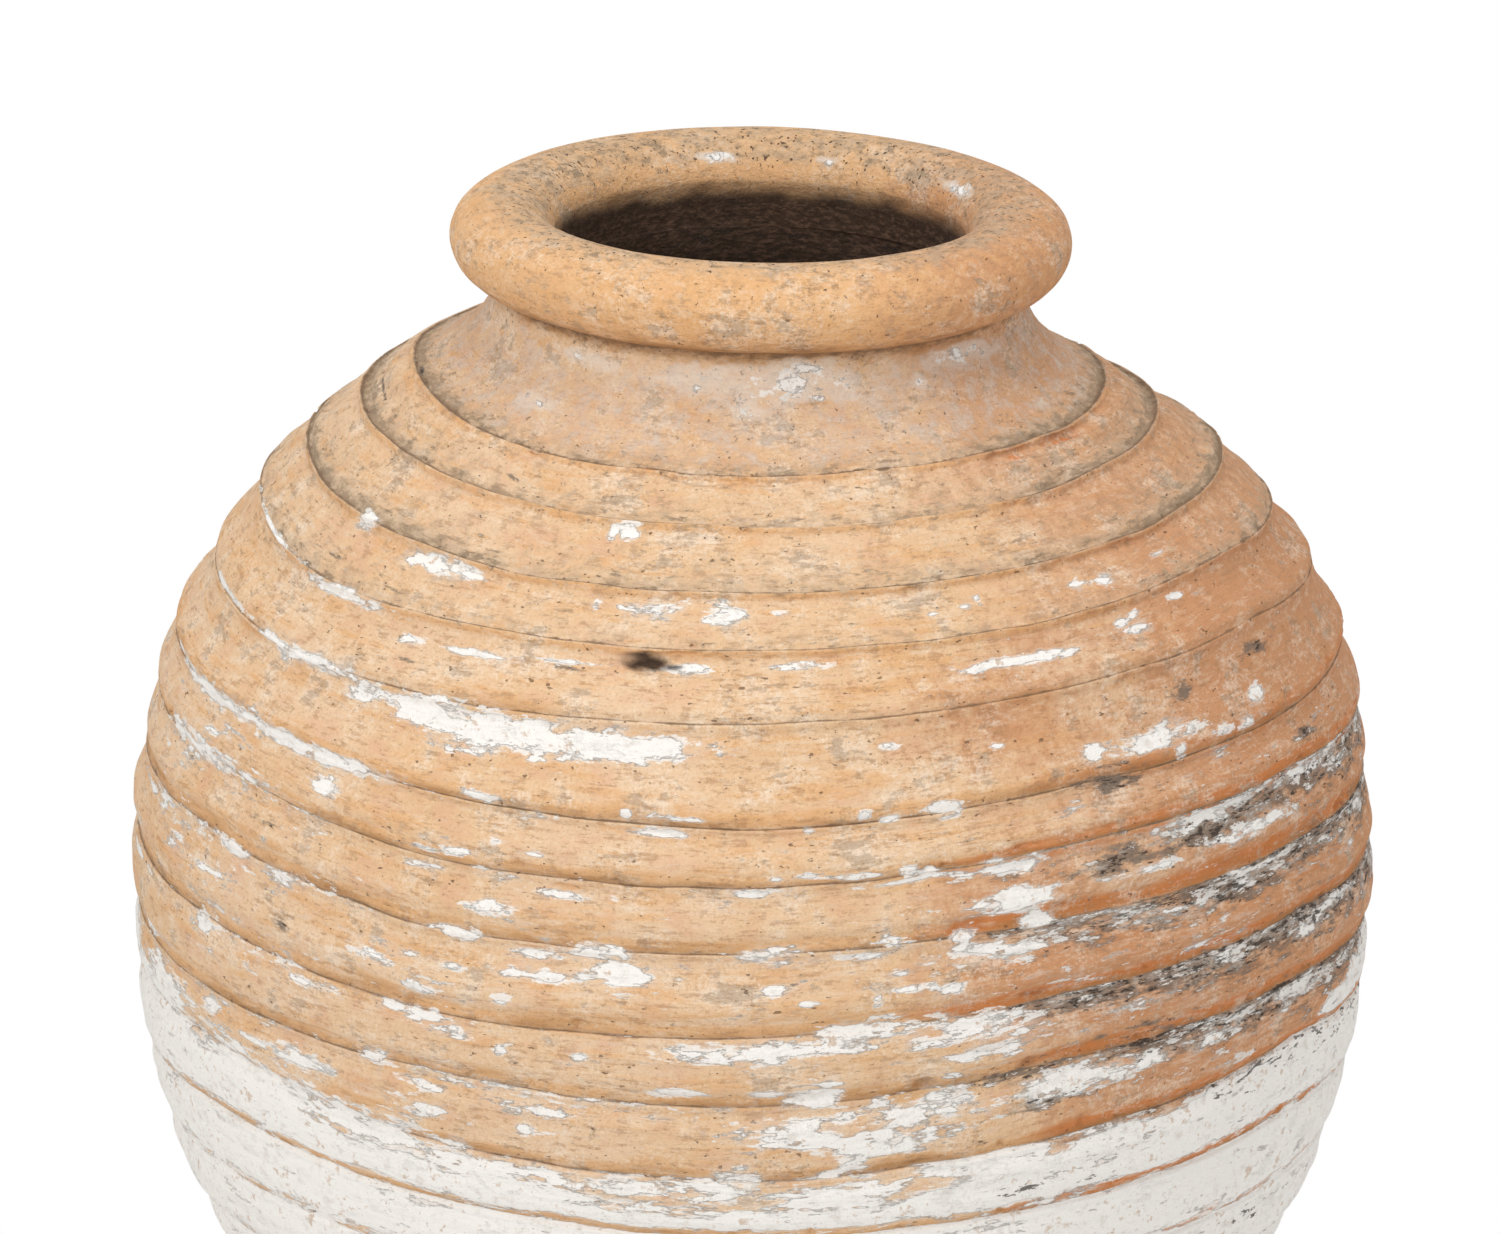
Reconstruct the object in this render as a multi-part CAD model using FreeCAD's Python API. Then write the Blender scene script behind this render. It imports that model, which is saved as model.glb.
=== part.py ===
import FreeCAD, Part

import math
import os

# Ribbed terracotta oil jar, in millimetres. +Z is up, and the origin is the middle of
# the underside. The pot is built up as a potter builds it: a base disc, then stages of
# wall that sit on each other with a level seam under a rib, a neck collar and a rim roll.

# Base and foot
BASE_RADIUS = 125.0
BASE_THICKNESS = 26.0
FOOT_SEAM_RADIUS = 201.0
FOOT_SEAM_HEIGHT = 150.0
FOOT_WIDTH = 25.0

# Ribs from the shoulder down, as the radius and height of each one's sharp line.
# A shoulder rib is a ledge that stands out below that line. A belly rib is a lip that
# overhangs it. The last two are below the part that is seen, at the pitch of the others.
SHOULDER_RIBS = [(192.0, 805.0), (221.5, 787.0), (253.5, 761.0), (280.5, 734.0), (305.0, 699.0)]
BELLY_RIBS = [
    (326.0, 658.0), (336.5, 623.0), (342.5, 588.0), (350.0, 541.0), (348.5, 500.0), (346.0, 458.0),
    (337.5, 415.0), (325.0, 376.0), (308.5, 335.0), (288.0, 292.0), (265.0, 250.0),
]
LEDGE_WIDTH = 6.0
LEDGE_SET_IN = 4.0

# The upper stages of wall: the numbers of the ribs at their top and bottom seams.
STAGES = {
    "upper_shoulder": (1, 5),
    "lower_shoulder": (5, 8),
    "belly": (8, 12),
    "lower_belly": (12, 15),
}
# The wall's level width at the seam under or over each of those ribs. It is wider
# where the wall leans, because the clay is about 18 mm thick across.
SEAM_WIDTH = {1: 31.0, 5: 23.0, 8: 24.0, 12: 19.0, 15: 23.0}

# Neck, from the first rib up to the rim
CONE_TOP_RADIUS = 163.0
CONE_TOP_HEIGHT = 824.0
WAIST_RADIUS = 148.0
WAIST_HEIGHT = 840.0
THROAT_RADIUS = 115.0

# Rim roll: an upright eight-sided round, as wide and high as the fold of clay
RIM_OUTER_RADIUS = 172.0
RIM_TOP = 905.0
RIM_HEIGHT = 50.0
OCTAGON_FLAT = math.tan(math.radians(22.5))

# A nearly upright band this tall is ruled in one row instead of being a true cone.
RULED_HEIGHT = 28.0
RULED_LEAN = 0.35


def at(radius, height):
    return FreeCAD.Vector(radius, 0, height)


def side(start, end):
    """One straight side of an outline, between two (radius, height) points."""
    lean = abs(end[0] - start[0])
    rise = abs(end[1] - start[1])
    if rise < RULED_HEIGHT or not 0.01 < lean < RULED_LEAN * rise:
        return Part.makeLine(at(*start), at(*end))
    ruled = Part.BezierCurve()
    ruled.setPoles([at(*start), at(*end)])
    return ruled.toShape()


def turned(outline, inner_side=None):
    """A closed outline of (radius, height) points, turned once round the pot's axis."""
    edges = []
    for start, end in zip(outline, outline[1:] + outline[:1]):
        plain = inner_side == (start, end)
        edges.append(Part.makeLine(at(*start), at(*end)) if plain else side(start, end))
    section = Part.Face(Part.Wire(edges))
    return section.revolve(FreeCAD.Vector(0, 0, 0), FreeCAD.Vector(0, 0, 1), 360)


class Rib:
    """One rib, with the outline's points above and below its sharp line."""

    def __init__(self, radius, height, on_shoulder):
        if on_shoulder:
            self.above = (radius, height)
            self.below = (radius + LEDGE_WIDTH, height)
        else:
            self.above = (radius + LEDGE_WIDTH - LEDGE_SET_IN, height)
            self.below = (radius - LEDGE_SET_IN, height)

    def inside(self, width):
        return (min(self.above[0], self.below[0]) - width, self.above[1])


def numbered_ribs():
    ribs = [Rib(radius, height, True) for radius, height in SHOULDER_RIBS]
    ribs += [Rib(radius, height, False) for radius, height in BELLY_RIBS]
    return dict(enumerate(ribs, start=1))


def wall_stage(ribs, top, bottom):
    """The wall from one seam down to the next, with the ribs that stand between them."""
    outline = [ribs[top].below]
    for number in range(top + 1, bottom):
        outline += [ribs[number].above, ribs[number].below]
    outline.append(ribs[bottom].above)
    inner_side = (ribs[bottom].inside(SEAM_WIDTH[bottom]), ribs[top].inside(SEAM_WIDTH[top]))
    outline += inner_side
    return turned(outline, inner_side)


def base_disc():
    return Part.makeCylinder(BASE_RADIUS, BASE_THICKNESS)


def foot_seam():
    """The seam between the foot and the wall on it, as its points outside and inside."""
    outside = (FOOT_SEAM_RADIUS, FOOT_SEAM_HEIGHT)
    inside = (FOOT_SEAM_RADIUS - FOOT_WIDTH, FOOT_SEAM_HEIGHT)
    return outside, inside


def lower_wall(ribs, top):
    """The second stage, which carries the last rib and tapers to the plain foot."""
    last = max(ribs)
    seam_outside, seam_inside = foot_seam()
    inner_side = (seam_inside, ribs[top].inside(SEAM_WIDTH[top]))
    outline = [ribs[top].below, ribs[last].above, ribs[last].below, seam_outside, *inner_side]
    return turned(outline, inner_side)


def foot_wall():
    """The first stage, a plain taper that stands on the base disc."""
    seam_outside, seam_inside = foot_seam()
    foot_outside = (BASE_RADIUS, BASE_THICKNESS)
    foot_inside = (BASE_RADIUS - FOOT_WIDTH, BASE_THICKNESS)
    return turned([seam_outside, foot_outside, foot_inside, seam_inside])


def cone_inside_top():
    return (CONE_TOP_RADIUS - SEAM_WIDTH[1], CONE_TOP_HEIGHT)


def shoulder_cone(ribs):
    """The smooth leaning collar between the first rib and the neck."""
    first = ribs[1]
    return turned([
        first.above,
        (CONE_TOP_RADIUS, CONE_TOP_HEIGHT),
        cone_inside_top(),
        first.inside(SEAM_WIDTH[1]),
    ])


def rim_bottom():
    return RIM_TOP - RIM_HEIGHT


def neck_collar():
    """The hollow-sided neck, which is narrowest just under the rim."""
    return turned([
        (CONE_TOP_RADIUS, CONE_TOP_HEIGHT),
        (WAIST_RADIUS, WAIST_HEIGHT),
        (WAIST_RADIUS, rim_bottom()),
        (THROAT_RADIUS, rim_bottom()),
        cone_inside_top(),
    ])


def rolled_rim():
    """The fold of clay round the mouth: eight flats, the inner one going down as the throat."""
    middle_radius = (RIM_OUTER_RADIUS + THROAT_RADIUS) / 2
    half_width = RIM_OUTER_RADIUS - middle_radius
    half_height = RIM_HEIGHT / 2
    middle_height = RIM_TOP - half_height
    flat_width = half_width * OCTAGON_FLAT
    flat_height = half_height * OCTAGON_FLAT
    return turned([
        (THROAT_RADIUS, rim_bottom()),
        (middle_radius + flat_width, rim_bottom()),
        (RIM_OUTER_RADIUS, middle_height - flat_height),
        (RIM_OUTER_RADIUS, middle_height + flat_height),
        (middle_radius + flat_width, RIM_TOP),
        (middle_radius - flat_width, RIM_TOP),
        (THROAT_RADIUS, middle_height + flat_height),
    ])


def main():
    ribs = numbered_ribs()
    lower_wall_top = STAGES["lower_belly"][1]
    pieces = {
        "base_disc": base_disc(),
        "foot_wall": foot_wall(),
        "lower_wall": lower_wall(ribs, lower_wall_top),
    }
    for name, (top, bottom) in STAGES.items():
        pieces[name] = wall_stage(ribs, top, bottom)
    pieces["shoulder_cone"] = shoulder_cone(ribs)
    pieces["neck_collar"] = neck_collar()
    pieces["rolled_rim"] = rolled_rim()

    os.makedirs("parts", exist_ok=True)
    for name, shape in pieces.items():
        shape.exportStep("parts/" + name + ".step")
        litres = shape.Volume / 1e6
        print(name, "valid" if shape.isValid() else "NOT VALID", round(litres, 2), "litres of clay")


main()
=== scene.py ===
import math

import bpy
import numpy as np
from mathutils import Matrix, Vector


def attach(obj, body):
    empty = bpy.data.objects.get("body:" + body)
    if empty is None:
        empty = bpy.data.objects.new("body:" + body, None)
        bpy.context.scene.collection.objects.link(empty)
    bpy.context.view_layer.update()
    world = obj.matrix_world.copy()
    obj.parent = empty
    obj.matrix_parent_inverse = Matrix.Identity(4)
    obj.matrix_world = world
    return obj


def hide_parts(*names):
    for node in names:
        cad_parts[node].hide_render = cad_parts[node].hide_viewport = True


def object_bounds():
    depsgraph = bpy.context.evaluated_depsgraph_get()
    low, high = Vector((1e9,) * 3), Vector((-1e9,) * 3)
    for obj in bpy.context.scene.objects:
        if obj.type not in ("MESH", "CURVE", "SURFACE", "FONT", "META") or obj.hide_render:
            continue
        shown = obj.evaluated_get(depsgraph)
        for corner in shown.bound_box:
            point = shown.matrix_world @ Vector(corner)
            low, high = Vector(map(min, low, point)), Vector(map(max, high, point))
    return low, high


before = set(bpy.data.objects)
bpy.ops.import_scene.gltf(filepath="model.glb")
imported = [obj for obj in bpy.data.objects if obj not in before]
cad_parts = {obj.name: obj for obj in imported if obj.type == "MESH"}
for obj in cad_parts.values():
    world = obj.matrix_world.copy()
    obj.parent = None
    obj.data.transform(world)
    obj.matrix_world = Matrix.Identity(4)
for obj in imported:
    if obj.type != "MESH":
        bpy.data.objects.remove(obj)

bl_info = {
    "name": "Ribbed terracotta jar",
    "version": (1, 0, 0),
    "blender": (4, 5, 0),
    "location": "3D View > Sidebar > Jar",
    "description": "Builds a hand-turned, ribbed and lime-washed oil jar round its packed CAD frame",
    "category": "Add Mesh",
}

CAD_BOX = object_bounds()
MM = 0.001

# The ribs from the neck down, as the radius and height in mm of each one's sharp line.
# Ribs 15 and 16 are under the part that the photograph shows.
RIBS = [
    (192.0, 805.0), (221.5, 787.0), (255.0, 761.0), (282.5, 734.0), (306.5, 699.0),
    (326.5, 658.0), (336.8, 623.0), (342.8, 588.0), (347.6, 541.0), (347.4, 500.0),
    (345.4, 458.0), (339.6, 415.0), (330.0, 376.0), (312.0, 335.0), (290.0, 292.0),
    (266.5, 250.0),
]
# Courses above rib LEDGES are worn along their upper line, those from the rib after
# LAST_TURN down along their lower one, and those between along both.
LEDGES = 5
LAST_TURN = 7

# How far the rim and then each rib sits to +X of the jar's axis, in mm
SWAY = [
    -2.3, -1.5, -1.5, 2.0, 3.4, 2.4, 0.8, 1.0, -0.2, -0.4, -0.4, -0.3, -0.2, -0.4, -0.5, 0.0, 0.0, 0.0,
]

# How far each rib climbs or sinks on its way round, in mm, at bearings a twelfth of a
# turn apart. Bearing 0 faces the front and bearings grow towards +X.
DRIFT_BEARINGS = [-90, -60, -30, 0, 30, 60, 90, 120, 150, 180, 210, 240]
RIB_DRIFT = [
    (8, -1, -5, -3, -2, -1, 1, -4, -5, -4, -2, 4),
    (4, 0, -5, -4, -2, 3, 4, -4, -6, -6, -4, 4),
    (5, -3, -7, -4, 0, 4, 5, -3, -4, -4, -3, 1),
    (4, -7, -4, 0, 5, 13, 2, -5, -3, -3, -3, 4),
    (-3, -6, -4, 2, 10, 16, 3, -3, -2, -4, -5, 0),
    (-3, -2, -8, -9, 3, 5, 5, -1, 0, -1, -3, 1),
    (1, 4, -5, -3, 10, 14, -1, -1, 1, 0, 2, -2),
    (-1, 3, -7, -2, 6, 7, -1, 1, 3, -3, -2, 1),
    (2, 1, -5, -1, 13, 15, 0, 2, 4, 0, -3, 2),
    (-2, 0, 2, 1, 16, 18, -2, 1, 2, -2, -4, -3),
    (1, 13, 3, 0, 13, 23, -2, 2, 0, 2, 3, 2),
    (-6, 14, 10, 8, 14, 20, 0, 2, 0, 3, 4, 0),
    (-1, 10, 12, 12, 12, 12, 4, 2, 0, 2, 4, 2),
    (-6, 8, 10, 10, 10, 8, -6, 0, 0, 2, 2, -2),
    (0, 4, 5, 5, 5, 4, 0, 0, 0, 1, 1, 0),
    (0, 2, 2, 2, 2, 2, 0, 0, 0, 0, 0, 0),
]

# How far each course of the wall stands out from a straight line between its two ribs, in
# mm, at these shares of the way down. Below 0 it is dished.
FORM_PLACES = [0.12, 0.35, 0.65, 0.9]
COURSE_FORM = [
    (-0.8, 0.4, -2.4, -1.5), (-2.9, -1.7, -2.4, 0.5), (-3.2, -2.1, -1.2, 0.2), (-3.4, -3.3, -0.8, 1.9),
    (-2.0, -1.9, 0.3, 3.0), (-1.0, 0.3, 2.7, 2.1), (-1.4, 0.7, 2.9, -0.2), (-1.0, 1.0, 4.1, 0.2),
    (1.4, 4.0, 3.9, 0.2), (-0.5, 2.7, 2.7, 1.6), (1.3, 3.2, 3.3, 1.3), (1.2, 3.0, 3.1, 1.3),
    (1.4, 3.6, 3.7, 1.4), (1.4, 3.6, 3.7, 1.4), (1.4, 3.6, 3.7, 1.4),
]
# How far the lip stands up along each line, in mm, over a groove in the course above it
LIP_HEIGHT = [1.2, 1.3, 1.2, 0.8, 0.6, 0.6, 0.5, 0.5, 0.5, 0.5, 0.8, 0.7, 0.7, 0.6, 0.6, 0.0]

# The neck and the foot, as (radius, height) points in mm
NECK = [
    (149.0, 857.2), (147.2, 854.5), (147.6, 849.5), (150.6, 841.0), (156.0, 831.5), (163.0, 823.5),
    (176.0, 813.3), (186.0, 807.4), (191.5, 804.6),
]
FOOT = [
    (264.0, 249.0), (231.0, 199.0), (201.0, 150.0), (163.0, 88.0), (127.0, 30.0),
    (125.0, 24.0), (124.5, 8.0), (122.0, 2.0), (117.0, 0.0),
]
FOOT_SEAM = 150.0
BASE_SEAM = 26.0
NECK_SEAM = 824.0

# The rim's roll, and the wall's inner face from the throat to the floor inside
RIM_MIDDLE = (143.5, 881.0)
RIM_HALF = (28.5, 23.8)
THROAT_SEAM = (117.0, 855.0)
LINING = [
    THROAT_SEAM, (118.5, 842.0), (123.0, 829.0), (136.0, 815.0), (162.0, 802.0), (194.0, 786.0),
    (226.0, 760.0), (253.0, 734.0), (282.0, 699.0), (302.0, 658.0), (311.0, 623.0), (314.5, 588.0),
    (316.0, 541.0), (316.0, 500.0), (315.0, 458.0), (312.0, 415.0), (300.0, 376.0), (283.0, 335.0),
    (261.0, 292.0), (236.0, 250.0), (176.0, 150.0), (100.0, BASE_SEAM),
]

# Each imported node, with the two ribs or seams that it lies between, from the top down
STAGES = [
    ("neck_collar", "rim", "neck"), ("shoulder_cone", "neck", 1), ("upper_shoulder", 1, 5),
    ("lower_shoulder", 5, 8), ("belly", 8, 12), ("lower_belly", 12, 15), ("lower_wall", 15, "foot"),
    ("foot_wall", "foot", "base"),
]

# Places on the wall are a bearing in degrees and a position down it: 4.25 is a quarter of
# the way from rib 4 to rib 5, 0 to 1 is the neck and -1 to 0 is the rim's roll.
# Hollows and chips: place, half length round the jar, half height and depth, in mm.
HOLLOWS = [
    (-12, 4.18, 15, 7.5, 3.6), (-1, 6.66, 6, 3, 1.4), (-7, 3.92, 4, 2.5, 1.2), (44, 1.15, 22, 5, 2.6),
    (57, 1.15, 27, 5, 2.8), (10, -0.42, 6, 6, 1.3), (-66, 5.14, 9, 4, 1.5), (20, 9.96, 12, 3, 1.6),
]

# Flakes and streaks of lime wash: place, half length, half height in mm, and how thick
# it lies, from 0 to 1.
FLAKES = [
    (-57, 3.04, 7, 4.5, 1), (-42, 3.20, 15, 4, 1.1), (-37, 3.20, 10, 2, 0.9), (-20, 2.15, 3, 5.5, 0.8),
    (-18, 2.12, 5, 5.5, 0.8), (-19, 3.34, 2, 4, 0.85), (-11, 3.29, 12, 5, 1.1), (-4, 3.39, 10, 5, 1.1),
    (2, 3.34, 7, 2, 0.7), (20, 3.53, 4, 3, 0.8), (24, 3.49, 4, 2, 0.7), (26, 3.39, 2, 3, 0.7),
    (39, 3.49, 4, 4, 1), (43, 3.58, 6, 4, 1), (53, 3.49, 6, 2, 0.8), (44, 4.22, 4, 2, 0.9),
    (42, 4.30, 5, 4, 0.95), (44, 4.44, 8, 3, 1), (51, 4.22, 5, 2, 0.8), (29, 4.48, 21, 3, 1.1),
    (-7, 4.26, 15, 3, 0.95), (4, 4.22, 11, 2, 0.85), (-20, 4.26, 18, 1.5, 0.85),
    (-31, 4.35, 17, 2, 0.9), (-40, 4.35, 10, 2, 0.85), (-74, 4.00, 45, 1.5, 0.95),
    (-53, 4.07, 31, 3, 0.95), (-74, 4.96, 38, 1.5, 1), (-54, 5.02, 33, 4, 1), (-41, 5.13, 19, 5, 1),
    (-34, 5.20, 31, 6.5, 1.1), (-25, 5.24, 33, 6.5, 1.2), (-15, 5.24, 36, 5.5, 1.1),
    (-78, 5.95, 11, 1.5, 0.9), (-67, 6.02, 37, 5, 1), (-50, 6.02, 58, 4, 1.1),
    (-26, 5.93, 11, 2.5, 0.9), (-63, 6.98, 47, 5.5, 1), (-62, 6.56, 16, 3, 0.8),
    (-44, 6.46, 11, 6.5, 0.72), (-20, 6.09, 10, 3, 0.8), (-12, 5.91, 3, 2, 0.95),
    (-8, 6.14, 12, 2, 0.85), (-24, 6.56, 6, 3, 0.85), (-20, 6.66, 6, 1.5, 0.8),
    (-28, 6.82, 10, 2, 0.95), (-32, 6.89, 10, 2, 0.75), (-78, 8.19, 30, 2, 0.75),
    (-80, 9.10, 32, 2, 0.75), (-66, 8.35, 11, 2, 0.7), (-59, 8.43, 15, 3, 0.8),
    (-56, 8.05, 16, 4, 0.85), (-46, 8.16, 7, 1.5, 0.75), (-31, 7.14, 9, 2, 0.7),
    (-24, 7.57, 10, 3, 0.92), (-18, 7.25, 24, 2.5, 0.72), (-27, 8.02, 12, 3, 0.85),
    (-36, 8.05, 15, 2, 0.62), (-58, 9.08, 18, 5, 0.78), (-74, 9.85, 25, 4, 0.85),
    (-20, 8.13, 13, 3, 0.92), (-14, 8.03, 18, 3.5, 0.85), (-27, 8.39, 6, 2, 0.9),
    (-35, 8.51, 15, 4, 0.75), (-31, 8.71, 9, 3, 0.92), (-18, 8.35, 23, 4, 0.72),
    (-10, 8.31, 8, 3, 0.9), (-22, 8.71, 5, 3, 0.95), (-51, 9.27, 3, 2, 0.8), (-44, 9.15, 23, 3, 0.66),
    (-58, 10.26, 12, 5.5, 0.9), (-31, 9.06, 21, 3.5, 0.72), (-27, 9.22, 18, 3.5, 0.62),
    (-15, 9.36, 5, 3, 0.95), (-22, 9.40, 3, 3, 0.85), (-50, 10.40, 11, 3, 0.95),
    (-44, 10.40, 23, 5.5, 0.78), (-35, 10.06, 15, 7.5, 0.62), (-30, 10.22, 17, 2.5, 0.72),
    (-6, 9.77, 11, 3, 0.85), (-20, 10.53, 5, 3, 1), (-16, 10.53, 8, 2, 0.85),
    (-30, 10.53, 14, 3, 0.55), (-69, 10.76, 34, 17.5, 1.1), (-52, 11.07, 56, 14.5, 1),
    (-36, 11.11, 39, 11, 1.1), (-22, 11.17, 30, 5.5, 0.9), (-10, 11.14, 38, 5, 0.85),
    (-6, 5.93, 13, 1.5, 0.8), (-8, 6.11, 10, 3, 0.9), (5, 6.07, 3, 3, 0.85), (10, 5.93, 3, 2.5, 0.95),
    (13, 5.98, 6, 2, 0.75), (18, 5.95, 7, 2, 1.1), (18, 6.11, 3, 2, 0.75), (2, 6.85, 3, 1.5, 0.95),
    (5, 6.85, 6, 2, 0.95), (9, 6.89, 13, 2, 1), (14, 6.93, 4, 4, 1), (16, 7.00, 4, 2.5, 0.9),
    (13, 7.09, 18, 1.5, 0.8), (0, 7.07, 22, 2.5, 0.62), (23, 7.11, 18, 3, 0.9), (22, 6.98, 7, 3, 0.7),
    (24, 7.57, 16, 4, 1.1), (26, 7.93, 7, 4, 1.1), (19, 7.98, 6, 3.5, 0.9), (13, 7.96, 9, 3, 0.85),
    (10, 8.08, 13, 2, 0.85), (-12, 8.02, 9, 4, 0.85), (2, 8.03, 24, 4.5, 0.65),
    (22, 8.23, 29, 7.5, 0.78), (-11, 8.27, 12, 3, 1.1), (-11, 8.39, 14, 1.5, 0.85),
    (2, 8.43, 8, 3, 0.8), (5, 8.59, 6, 2, 0.85), (11, 8.63, 3, 4, 0.9), (13, 8.35, 6, 3, 0.7),
    (14, 8.55, 8, 2, 0.85), (16, 8.55, 3, 2, 1), (18, 8.63, 6, 3, 1.1), (-4, 9.18, 18, 4, 1.1),
    (2, 9.22, 17, 6, 0.9), (9, 9.06, 24, 7.5, 0.8), (20, 9.18, 27, 7.5, 0.95),
    (20, 9.54, 24, 4.5, 0.7), (-6, 9.81, 14, 3.5, 0.88), (2, 9.81, 9, 2.5, 0.95), (6, 9.88, 11, 9, 1),
    (5, 10.31, 30, 8, 0.85), (11, 10.58, 30, 5.5, 0.95), (16, 10.26, 41, 9, 0.74),
    (31, 10.26, 45, 7.5, 0.8), (9, 10.84, 9, 4, 0.95), (-10, 11.17, 23, 4.5, 1),
    (-2, 11.11, 18, 11, 0.88), (7, 11.34, 39, 10, 0.95), (40, 5.74, 27, 4, 1), (34, 5.74, 6, 3, 0.9),
    (50, 5.89, 10, 2.5, 1), (54, 5.91, 9, 3.5, 0.8), (57, 5.70, 8, 3, 1.1), (13, 5.28, 5, 2, 0.7),
    (24, 5.45, 4, 1.5, 0.95), (44, 5.91, 4, 3.5, 0.9), (19, 6.09, 3, 2, 0.8), (25, 7.17, 7, 2.5, 0.9),
    (38, 7.57, 28, 2, 0.8), (48, 7.09, 37, 1.5, 0.95), (52, 7.52, 42, 3.5, 0.72),
    (54, 8.07, 31, 2.5, 0.8),
]

# Lime rubbed thin, the same way
HAZES = [
    (5, 0.23, 46, 8.5, 0.8), (-3, 0.43, 7, 3.5, 0.95), (9, 0.12, 14, 5.5, 0.9),
    (46, 0.18, 24, 4.5, 0.9), (-39, 0.20, 16, 3.5, 0.6), (34, 0.30, 3, 3.5, 0.85),
    (-166, -0.79, 15, 4.5, 0.7), (165, -0.79, 11, 4, 0.5), (115, -0.78, 29, 5.5, 0.6),
    (-46, 0.60, 16, 5.5, 0.45),
]

# Dark growth and smoke: the same, with how dark it is.
STAINS = [
    (35, 6.07, 31, 10, 0.9), (46, 5.37, 26, 5.5, 0.7), (60, 5.28, 34, 5.5, 0.6),
    (64, 6.51, 22, 8.5, 0.7), (35, 7.36, 27, 8, 1), (46, 7.31, 40, 8.5, 1), (59, 7.21, 34, 7, 0.8),
    (36, 8.16, 33, 9, 1), (50, 8.23, 48, 10, 1), (62, 8.19, 28, 9, 0.85), (30, 9.12, 35, 7, 0.95),
    (44, 9.08, 47, 12, 1.1), (59, 9.08, 47, 13, 0.95), (25, 10.04, 39, 8.5, 0.8),
    (40, 10.02, 51, 12, 1), (56, 10.04, 42, 13, 0.9), (17, 10.31, 36, 5.5, 0.6),
    (28, 10.44, 30, 5.5, 0.8), (25, 11.60, 15, 4.5, 1.2), (57, 13.21, 17, 7, 1.2),
    (22, 12.12, 6, 3.5, 1.1), (34, 11.21, 3, 4, 1.1), (32, 11.68, 11, 3, 0.9), (-6, 3.92, 2, 1.5, 0.6),
    (-85, 1.65, 43, 1.5, 0.9), (-79, 0.97, 8, 1.5, 1), (-40, 1.59, 12, 4, 0.45),
    (-24, 1.26, 9, 8.5, 0.4), (-20, 4.35, 18, 3, 0.5), (-59, 3.68, 24, 3, 0.5),
    (-40, 4.62, 17, 4, 0.5), (-52, 7.41, 30, 5.5, 0.5), (-66, 7.25, 34, 5, 0.5),
    (-46, 8.59, 12, 4.5, 0.55), (-42, 9.12, 9, 6, 0.6),
]

# Painted shade, dark as soot, in the deepest hollow, and chips that bare fresh clay, the same way
HOLE_SHADE = [(-12, 4.18, 16, 5, 1.0)]
FRESH_CHIPS = [(44, 1.17, 24, 7, 0.5), (57, 1.17, 29, 7, 0.5), (-18, 1.02, 20, 2, 0.5)]

# Where the heavy wash of the lower body begins, as a position down the wall at each of
# DRIFT_BEARINGS
WASH_LINE = [9.9, 10.9, 11.1, 11.3, 10.95, 10.9, 9.6, 10.2, 10.9, 11.4, 11.2, 10.4]

NO_LINE = 999  # mm to the nearest rib's line, where there is none on that side
SHARP_ANGLE = math.radians(55)


def linear(code):
    """Turns an sRGB hex colour into the linear RGB that a shader takes."""
    parts = [int(code[i:i + 2], 16) / 255 for i in (1, 3, 5)]
    return tuple(c / 12.92 if c <= 0.04045 else ((c + 0.055) / 1.055) ** 2.4 for c in parts)


def colour_property(name, description, code):
    return bpy.props.FloatVectorProperty(
        name=name, description=description, subtype="COLOR", size=3, min=0, max=1, default=linear(code))


def length_property(name, description, default):
    return bpy.props.FloatProperty(
        name=name, description=description, unit="LENGTH", min=0, default=default)


class JarShape(bpy.types.PropertyGroup):
    """How the clay was turned."""
    columns: bpy.props.IntProperty(name="Columns", description="Facets round the jar", min=48, default=720)
    fine_row: length_property("Fine row", "Row height at a rib's line", 0.8 * MM)
    plain_row: length_property("Plain row", "Row height between ribs", 1.9 * MM)
    inside_row: length_property("Inside row", "Row height on the inner face", 7 * MM)
    lump: length_property("Lump height", "How far the wall swells and sinks from true", 1.1 * MM)
    ridge: length_property("Ridge height", "How far the potter's finger marks stand out", 0.45 * MM)
    chip: length_property("Chip depth", "How deep the worn lips are chipped", 2.4 * MM)
    wander: length_property("Line wander", "How far a rib's line wobbles up and down", 0.9 * MM)
    unevenness: bpy.props.FloatProperty(
        name="Unevenness", description="How much a rib's fullness varies round the jar",
        subtype="FACTOR", min=0, max=1, default=0.3)


class JarFinish(bpy.types.PropertyGroup):
    """What the fired clay and what is left on it look like."""
    buff: colour_property("Buff", "Most of the fired clay", "#e3bd94")
    pale: colour_property("Pale", "Dry, bleached clay", "#ecd2b6")
    ochre: colour_property("Ochre", "Warmer clay along the worn lips", "#e3ae76")
    # Rose also darkens the +X side as painted shade
    rose: colour_property("Rose", "Pinker clay where the fire was hotter", "#c88d62")
    ember: colour_property("Ember", "Bare red clay between the dark stains", "#cf7c3f")
    dust: colour_property("Dust", "Grey-tan dirt that lies on the ledges", "#bea68b")
    # Grime in the grooves, also painted as crease shade along each line and under the rim
    grime_and_crease_shade: colour_property("Grime", "Old dirt packed into the grooves", "#7a6048")
    lime: colour_property("Lime", "What is left of the white lime wash", "#f6f2ec")
    haze: colour_property("Haze", "Lime rubbed thin over the clay", "#e9dccf")
    stain: colour_property("Stain", "Dark growth and smoke on one side", "#76695d")
    # Also painted as shade into the deepest hollow
    soot_and_hole_shade: colour_property("Soot", "The blackened inside", "#35251b")


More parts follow.
